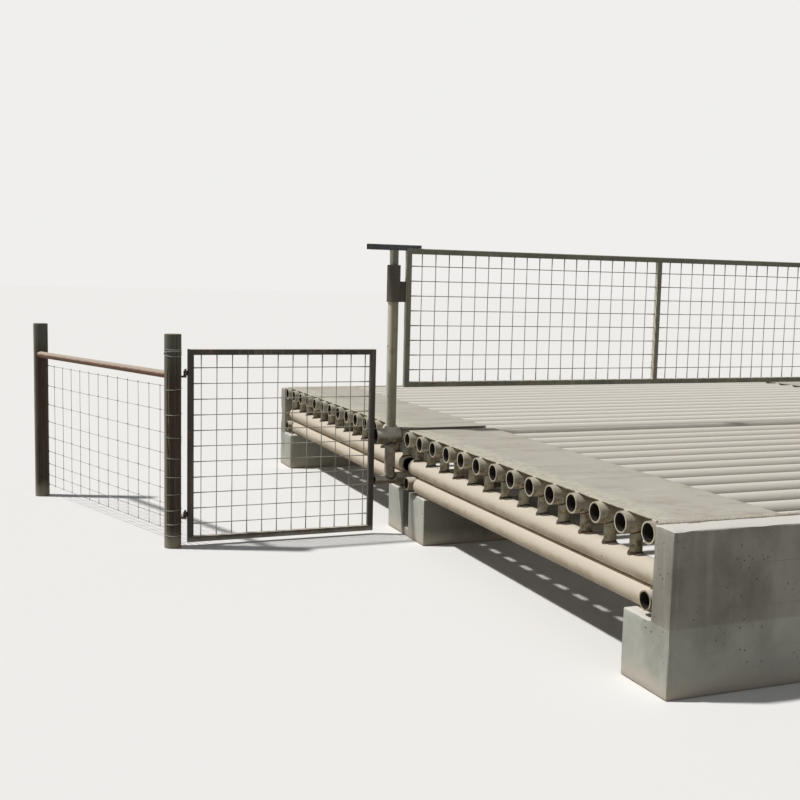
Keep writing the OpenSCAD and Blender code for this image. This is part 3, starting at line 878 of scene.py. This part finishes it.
def ring_pattern(name, radius, reach, rise, rest_radius, along, flip, steps=14):
    """A fillet weld where an upright pipe meets a lying one, its foot following the round."""
    bm = bmesh.new()
    sunk = 0.0015
    section = [(-sunk, rise), (0.62 * reach, 0.62 * rise), (reach, -sunk), (-sunk, -sunk)]
    verts = [bm.verts.new((radius + out, 0, height)) for out, height in section]
    lines = [bm.edges.new(pair) for pair in zip(verts, verts[1:] + verts[:1])]
    bmesh.ops.spin(bm, geom=verts + lines, cent=(0, 0, 0), axis=(0, 0, 1), angle=tau, steps=steps,
                   use_merge=True)
    for vert in bm.verts:
        across = vert.co.x if along == "Y" else vert.co.y
        drop = sqrt(max(rest_radius ** 2 - across ** 2, 0)) - rest_radius
        ripple = 1 + 0.05 * noise.noise(vert.co * 130.0)
        vert.co.x *= ripple
        vert.co.y *= ripple
        vert.co.z = flip * (vert.co.z + drop)
    return as_pattern(name, bm)


def bead_pattern(name, length, radius):
    """A short run of weld, thick in the middle and rippled."""
    bm = bmesh.new()
    count = 9
    path = [Vector((length * (i / (count - 1) - 0.5), 0, 0)) for i in range(count)]
    radii = rippled(count, radius, radius * 0.82)
    radii[0] = radii[-1] = radius * 0.45
    draw_bar(bm, path, radii)
    return as_pattern(name, bm)


def leg_welds():
    foot = ring_pattern("leg_foot_weld", leg_radius, 0.0095, 0.010, stringer_radius, "Y", 1)
    head = ring_pattern("leg_head_weld", leg_radius, 0.007, 0.0085, pipe_radius, "X", -1)
    for line, x in zip(leg_lines, line_places):
        bm = bmesh.new()
        for y in rows_y:
            turn = turned(pi * random.randint(0, 1))
            stamp(bm, foot, (x, y, upper_z + stringer_radius), turn)
            stamp(bm, head, (x, y, pipe_z - pipe_radius), turn)
        make_piece("welds_of_" + line, bm, weld_steel, "grid")


def stringer_welds():
    """Stitches between the stacked stringers, and at the cross pipes."""
    stitch = bead_pattern("stitch", 0.07, 0.006)
    short = bead_pattern("short_stitch", 0.05, 0.006)
    meet_z = (upper_z + lower_z) / 2
    beside_line = 0.0125
    beside_pipe = 0.011
    bm = bmesh.new()
    for side, x in [(side, x) for side in (-1, 1) for x in line_places]:
        for k in range(6):
            y = side * (first_y + 0.25 + k * 0.46)
            for hand in (-1, 1):
                stamp(bm, stitch, (x + hand * beside_line, y, meet_z), turned(pi / 2))
        for y in (side * first_y, side * row_end):
            for hand in (-1, 1):
                stamp(bm, short, (x, y + hand * beside_pipe, cross_z + cross_radius))
    make_piece("stringer_stitches", bm, weld_steel, "grid")


def plate_welds():
    """Stitches where the tread plates lie on the deck pipes."""
    stitch = bead_pattern("plate_stitch", 0.036, 0.004)
    bm = bmesh.new()
    for side, node in ((-1, "near_tread_plates"), (1, "far_tread_plates")):
        low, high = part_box(node)
        for y in [y for y in rows_y if y * side > 0]:
            for x in (high.x, high.x - plate_width):
                for hand in (-1, 1):
                    turn = turned(random.uniform(-0.06, 0.06)) @ turned(pi / 2)
                    stamp(bm, stitch, (hand * x, y, low.z + 0.001), turn)
    make_piece("tread_plate_stitches", bm, dusty_lit_weld, "grid")


def post_welds(hand, name):
    """The cones of weld at the foot of a gate post and at both ends of its strut."""
    x = hand * post_x
    steps = 36
    foot = ring_pattern("post_foot_weld", post_radius, 0.016, 0.022, bracket_radius, "X", 1, steps)
    strut_head = ring_pattern("strut_head_weld", post_radius, 0.010, 0.012, bracket_radius, "X", -1, steps)
    rest = low_bracket_radius + 0.02
    strut_foot = ring_pattern("strut_foot_weld", post_radius, 0.004, 0.009, rest, "X", 1, steps)
    bm = bmesh.new()
    stamp(bm, foot, (x, post_y, pipe_z + bracket_radius))
    make_piece(name + "_foot_weld", bm, dusty_lit_weld, "grid")
    bm = bmesh.new()
    stamp(bm, strut_head, (x, post_y, pipe_z - bracket_radius))
    stamp(bm, strut_foot, (x, post_y, low_bracket_z + low_bracket_radius - 0.004))
    centre = Vector((hand * (edge - bracket_lap - 0.001), post_y, pipe_z))
    round_pipe = 0.0535  # the bracket's inner end is welded round its deck pipe
    path = round_points(centre, Vector((0, round_pipe, 0)), Vector((0, 0, round_pipe)), 24)
    draw_bar(bm, path, [0.0052 + 0.0008 * noise.noise(p * 60) for p in path], loop=True)
    make_piece(name + "_bracket_welds", bm, weld_steel, "grid")


leg_welds()
stringer_welds()
plate_welds()
post_welds(-1, "gate_post")
post_welds(1, "latch_post")


# Gates


def wavy(start, end, count, bow, seed):
    """A straight run with the slight waver that welded wire has."""
    points = []
    for i in range(count + 1):
        share = i / count
        drift = bow * noise.noise_vector(Vector((share * 2.3, seed * 1.7, 0.5)))
        points.append(start.lerp(end, share) + drift * sin(pi * share))
    return points


def mesh_wire(bm, start, end, cells, seed):
    """One wire of a welded mesh, thicker at its welded ends."""
    radii = [wire_weld_radius] + [wire_radius] * (cells - 1) + [wire_weld_radius]
    draw_bar(bm, wavy(start, end, cells, 0.0022, seed), radii)


def welded_mesh(bm, x0, z0, columns, rows, first, pitch_x, pitch_z, width, height, y):
    """Two layers of wire: the rows in front, the uprights behind."""
    inset = tube / 2 - 0.001
    behind = y + wire_radius * 0.9
    before = y - wire_radius * 0.9
    for k in range(columns):
        x = x0 + first + k * pitch_x
        ends = [Vector((x, behind, z)) for z in (z0 + inset, z0 + height - inset)]
        mesh_wire(bm, *ends, rows, x * 3.3)
    for j in range(1, rows):
        z = z0 + j * pitch_z
        ends = [Vector((x, before, z)) for x in (x0 + inset, x0 + width - inset)]
        mesh_wire(bm, *ends, columns, z * 5.1)


def swing_gate_mesh():
    columns = round(gate_bay / mesh_cell)
    pitch = gate_bay / columns
    for i in range(gate_bays):
        bm = bmesh.new()
        welded_mesh(bm, stile_x + i * gate_bay, gate_low, columns - 1, gate_rows, pitch, pitch, mesh_cell,
                    gate_bay, gate_high - gate_low, post_y)
        node = "gate_mesh_%d" % (i + 1)
        make_piece("wire_panel_%d" % (i + 1), bm, gate_wire, "swing_gate", (node,))


def side_gate_panel():
    bm = bmesh.new()
    width = side_latch_x - side_hinge_x
    columns = int((width - side_first - tube / 2) / mesh_cell) + 1
    welded_mesh(bm, side_hinge_x, side_low, columns, side_rows, side_first, mesh_cell, mesh_cell, width,
                side_high - side_low, side_y)
    make_piece("side_gate_wire_panel", bm, gate_wire, "side_gate", ("side_gate_mesh",))


def on_face(y, face):
    """Just inside one face of a gate's tube."""
    return y + face * (tube / 2 - 0.0006)


def mitre_welds(bm, left, right, low, high, y):
    """Weld along both faces of a frame's four mitred corners."""
    half = tube / 2 - 0.002
    for x, toward_x in ((left, 1), (right, -1)):
        for z, toward_z in ((low, 1), (high, -1)):
            reach = Vector((toward_x * half, 0, toward_z * half))
            for face in (-1, 1):
                corner = Vector((x, on_face(y, face), z))
                draw_weld(bm, corner - reach, corner + reach, 9, 0.0024, 0.0019)


def frame_welds():
    bm = bmesh.new()
    mitre_welds(bm, stile_x, latch_x, gate_low, gate_high, post_y)
    half = Vector((tube / 2, 0, 0))
    for i in range(1, gate_bays):
        for z in (gate_low + tube / 2, gate_high - tube / 2):
            for face in (-1, 1):
                foot = Vector((stile_x + i * gate_bay, on_face(post_y, face), z))
                draw_weld(bm, foot - half, foot + half, 9, 0.0026, 0.002)
    make_piece("gate_frame_welds", bm, gate_paint, "swing_gate")
    bm = bmesh.new()
    mitre_welds(bm, side_hinge_x, side_latch_x, side_low, side_high, side_y)
    make_piece("side_gate_frame_welds", bm, side_steel, "side_gate")


def hinge_welds():
    """Weld round the pivot under the head bar, and down the lug at the hinge stile."""
    bm = bmesh.new()
    under = Vector((-post_x, post_y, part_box("pivot_tube")[1].z - 0.001))
    pivot_radius = spread("pivot_tube").x / 2
    path = round_points(under, Vector((pivot_radius, 0, 0)), Vector((0, tube / 2, 0)), 20)
    draw_bar(bm, path, 0.0035, loop=True)
    low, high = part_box("hinge_collar")
    for face in (-1, 1):
        foot = Vector((high.x + 0.001, post_y + face * lug_thickness / 2, low.z))
        draw_weld(bm, foot, foot + Vector((0, 0, lug_height)), 17, 0.0042, 0.0034)
    make_piece("hinge_welds", bm, collar_steel, "swing_gate")


swing_gate_mesh()
side_gate_panel()
frame_welds()
hinge_welds()


# Wooden posts


def drying_cracks(dice, tall):
    """Cracks down the grain, each by its angle, its two ends and its depth."""
    cracks = []
    for i in range(9):
        start = dice.uniform(0.0, 0.8) * tall
        angle = tau * (i + dice.uniform(-0.3, 0.3)) / 9
        end = start + dice.uniform(0.3, 0.9)
        cracks.append((angle, start, end, dice.uniform(0.004, 0.011)))
    return cracks


def log_depth(angle, z, radius, seed, cracks, knots):
    """How far the log's surface lies under a true round there: slow waves, knots, open cracks."""
    spot = Vector((cos(angle) * 1.4, sin(angle) * 1.4, z * 1.8 + seed))
    depth = 0.0007 * (1 + noise.noise(spot)) + 0.0006 * noise.noise(Vector((angle * 9, z * 2, seed)))
    for knot_angle, knot_z in knots:
        apart = hypot(remainder(angle - knot_angle, tau) * radius, (z - knot_z) * 0.7)
        depth -= 0.0015 * max(0.0, 1 - apart / 0.022)
    for crack_angle, start, end, deep in cracks:
        if start < z < end:
            line = crack_angle + 0.25 * noise.noise(Vector((z * 1.6, crack_angle * 5, seed)))
            beside = abs(remainder(angle - line, tau)) * radius
            open_share = sin(pi * (z - start) / (end - start)) ** 0.4
            depth += deep * open_share * max(0.0, 1 - beside / 0.0036)
    return max(depth, 0.0)


def log_post(name, node, material, seed):
    """A round timber post: slightly out of true, its grain opened into drying cracks."""
    low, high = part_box(node)
    centre = (low + high) / 2
    radius = (high.x - low.x) / 2
    tall = high.z - low.z
    dice = random.Random(seed)
    bm = bmesh.new()
    bmesh.ops.create_cone(bm, cap_ends=True, segments=96, radius1=radius, radius2=radius, depth=tall)
    bmesh.ops.translate(bm, verts=bm.verts, vec=(0, 0, tall / 2))
    upright = [e for e in bm.edges if abs(e.verts[0].co.z - e.verts[1].co.z) > 0.5]
    bmesh.ops.subdivide_edges(bm, edges=upright, cuts=92, use_grid_fill=True)
    cracks = drying_cracks(dice, tall)
    knots = [(dice.uniform(0, tau), dice.uniform(0.2, 0.9) * tall) for i in range(4)]
    for vert in bm.verts:
        angle = atan2(vert.co.y, vert.co.x)
        inward = -Vector((cos(angle), sin(angle), 0))
        if vert.co.to_2d().length > radius * 0.5:
            vert.co += inward * log_depth(angle, vert.co.z, radius, seed, cracks, knots)
    rim = [e for e in bm.edges if e.calc_face_angle(0.0) > 1.0 and e.verts[0].co.z > tall * 0.9]
    round_edges(bm, rim, 0.0025)
    bmesh.ops.translate(bm, verts=bm.verts, vec=(centre.x, centre.y, low.z))
    make_piece(name, bm, material, "grid", (node,), crease=60)


log_post("hinge_log", "hinge_post", hinge_timber, 3)
log_post("brace_log", "brace_post", brace_timber, 8)


# Fence wires

net_out = wood_radius + 0.0025


def up_by(height):
    return Vector((0, 0, height))


def net_point(distance, out, height):
    return near_axis + along_fence * distance + beside_fence * out + up_by(height)


def line_wire(index, height):
    """A line wire of the net, sagging a little between the posts."""
    path = []
    count = 26
    for k in range(count + 1):
        share = k / count
        dip = -0.004 * sin(pi * share) + 0.0016 * noise.noise(Vector((share * 9, index * 2.1, 0)))
        path.append(net_point(share * (bay_len + wood_radius * 0.8), net_out, height + dip))
    return path


def wrapped_end(index, height):
    """The turn that a line wire takes round the hinge post."""
    path = []
    count = 24
    for k in range(count + 1):
        angle = -tau * k / count
        around = beside_fence * cos(angle) + along_fence * sin(angle)
        tilt = 0.004 * sin(angle + index)
        path.append(near_axis + around * (wood_radius + 0.0014) + up_by(height + tilt))
    return path


def twisted_tail(height):
    """A line wire's end, twisted back round the wire."""
    path = []
    twist = 0.0042
    for k in range(21):
        angle = tau * k / 5
        lift = up_by(twist * cos(angle)) + beside_fence * (twist * sin(angle))
        path.append(net_point(0.03 + k * 0.0035, net_out, height) + lift)
    return path


def knot_pattern():
    bm = bmesh.new()
    path = [up_by(z) for z in (-0.007, -0.004, 0.004, 0.007)]
    draw_bar(bm, path, [0.002, 0.0038, 0.0038, 0.002])
    return as_pattern("knot", bm)


def fence_netting():
    """Woven net: line wires, stays, a knot at each crossing and the wires' ends wrapped round the post."""
    bm = bmesh.new()
    knot = knot_pattern()
    stays = int(bay_len / stay_pitch)
    first = (bay_len - (stays - 1) * stay_pitch) / 2
    for i, height in enumerate(net_heights):
        draw_bar(bm, line_wire(i, height), net_wire_radius)
        draw_bar(bm, wrapped_end(i, height), net_wire_radius)
        draw_bar(bm, twisted_tail(height), net_wire_radius * 0.9, sides=5)
        for k in range(stays):
            stamp(bm, knot, net_point(first + k * stay_pitch, net_out, height - 0.001))
    for k in range(stays):
        distance = first + k * stay_pitch
        low = net_point(distance, net_out, net_heights[0] - 0.004)
        high = net_point(distance, net_out, net_heights[-1] + 0.004)
        draw_bar(bm, wavy(low, high, 12, 0.003, k * 1.9), net_wire_radius)
    make_piece("woven_net", bm, net_zinc, "grid", ("fence_net",))


def staples():
    """Fencing staples that hold the net's line wires on the far post."""
    bm = bmesh.new()
    foot = wood_radius - 0.012
    head = wood_radius + 0.006
    bend = 0.003
    half_path = [(foot, 0.007), (head - bend, 0.006), (head, bend)]
    turns = [(out, -drop) for out, drop in half_path] + half_path[::-1]
    for height in net_heights:
        path = [net_point(bay_len, out, height + rise) for out, rise in turns]
        draw_bar(bm, path, net_wire_radius)
    make_piece("staples", bm, net_zinc, "grid")


def tie_wires():
    """Odd turns of soft wire left near the top of the hinge post."""
    bm = bmesh.new()
    steps = 24
    for height, tilt, turns in ((1.286, 0.006, 1.2), (1.258, -0.012, 2.1), (1.246, 0.01, 1.4)):
        path = []
        for k in range(int(steps * turns) + 1):
            angle = 0.8 + tau * k / steps
            around = Vector((cos(angle), sin(angle), 0))
            rise = tilt * sin(angle) + 0.004 * k / steps
            path.append(near_axis + around * (wood_radius + 0.0012) + up_by(height + rise))
        draw_bar(bm, path, net_wire_radius)
    make_piece("tie_wires", bm, net_zinc, "grid")


fence_netting()
staples()
tie_wires()


# Light and floor


def show_backdrop(g, others, shown, output):
    """One shader for the rays that see the backdrop, another for those that light the piece."""
    path = g.add("LightPath").outputs
    seen = g.plus(g.plus(path["Is Camera Ray"], path["Is Glossy Ray"]), path["Is Transmission Ray"])
    mask = g.calc("MINIMUM", seen, 1.0)
    both = g.add("MixShader", {0: mask, 1: others.outputs[0], 2: shown.outputs[0]})
    g.feed(g.tree.nodes[output], {"Surface": both.outputs[0]})


def studio_world():
    world = bpy.data.worlds.new("studio")
    world.use_nodes = True
    g = Graph(world.node_tree)
    fill = g.feed(g.tree.nodes["Background"], {"Color": (0.86, 0.92, 1.0, 1), "Strength": 0.18})
    shown = g.add("Background", {"Color": (0.87, 0.863, 0.845, 1), "Strength": 1.0})
    show_backdrop(g, fill, shown, "World Output")
    bpy.context.scene.world = world


def key_light():
    sun = bpy.data.lights.new("key", "SUN")
    sun.energy = 2.8
    sun.angle = radians(3)
    lamp = put_in_scene("key", sun)
    lamp.rotation_mode = "QUATERNION"
    lamp.rotation_quaternion = Vector((-0.58, 0.22, 1)).to_track_quat("Z", "Y")


def studio_floor():
    g = new_material("pale_floor")
    g.tree.nodes.remove(g.tree.nodes["Principled BSDF"])
    pale = g.add("BsdfDiffuse", {"Color": (0.935, 0.915, 0.88, 1)})
    dull = g.add("BsdfDiffuse", {"Color": (0.4, 0.375, 0.335, 1)})
    show_backdrop(g, dull, pale, "Material Output")
    bm = bmesh.new()
    bmesh.ops.create_grid(bm, x_segments=1, y_segments=1, size=200)
    floor = put_in_scene("floor", as_mesh("floor", bm))
    floor.data.materials.append(g.material)


studio_world()
key_light()
studio_floor()
